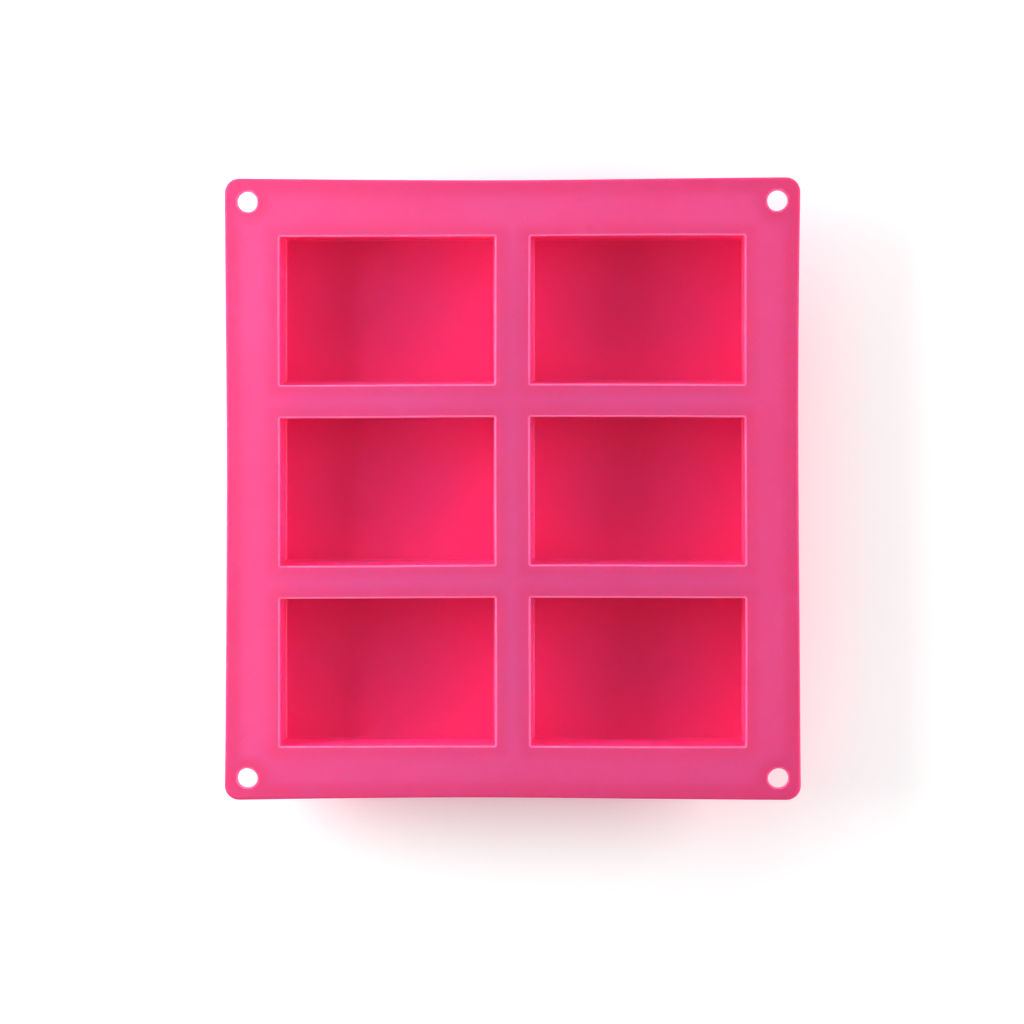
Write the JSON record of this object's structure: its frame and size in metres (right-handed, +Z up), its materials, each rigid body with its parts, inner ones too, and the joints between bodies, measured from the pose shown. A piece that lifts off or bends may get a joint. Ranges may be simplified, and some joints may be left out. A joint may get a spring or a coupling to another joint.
{
  "type": "soap bar mould",
  "caption": "Flexible silicone tray mould with a grid of rectangular cavities for soap bars, a stiffened rim and a hanging hole at each corner.",
  "frame": {"origin": "centre of the tray, in the plane of the pocket bases that it stands on", "axes": "+Z up out of the cavities' mouths, +Y along the tray's longer side to the rear, +X to the right along each cavity's longer side"},
  "size_m": [0.218, 0.235, 0.027],
  "materials": {
    "silicone": "satin"
  },
  "bodies": {
    "root": {"web_sheet": "silicone", "rim_front": "silicone", "rim_rear": "silicone", "rim_left": "silicone", "rim_right": "silicone", "eyelet_front_left": "silicone", "eyelet_front_right": "silicone", "eyelet_rear_left": "silicone", "eyelet_rear_right": "silicone", "pocket_front_left": "silicone", "pocket_front_right": "silicone", "pocket_middle_left": "silicone", "pocket_middle_right": "silicone", "pocket_rear_left": "silicone", "pocket_rear_right": "silicone"}
  },
  "joints": []
}
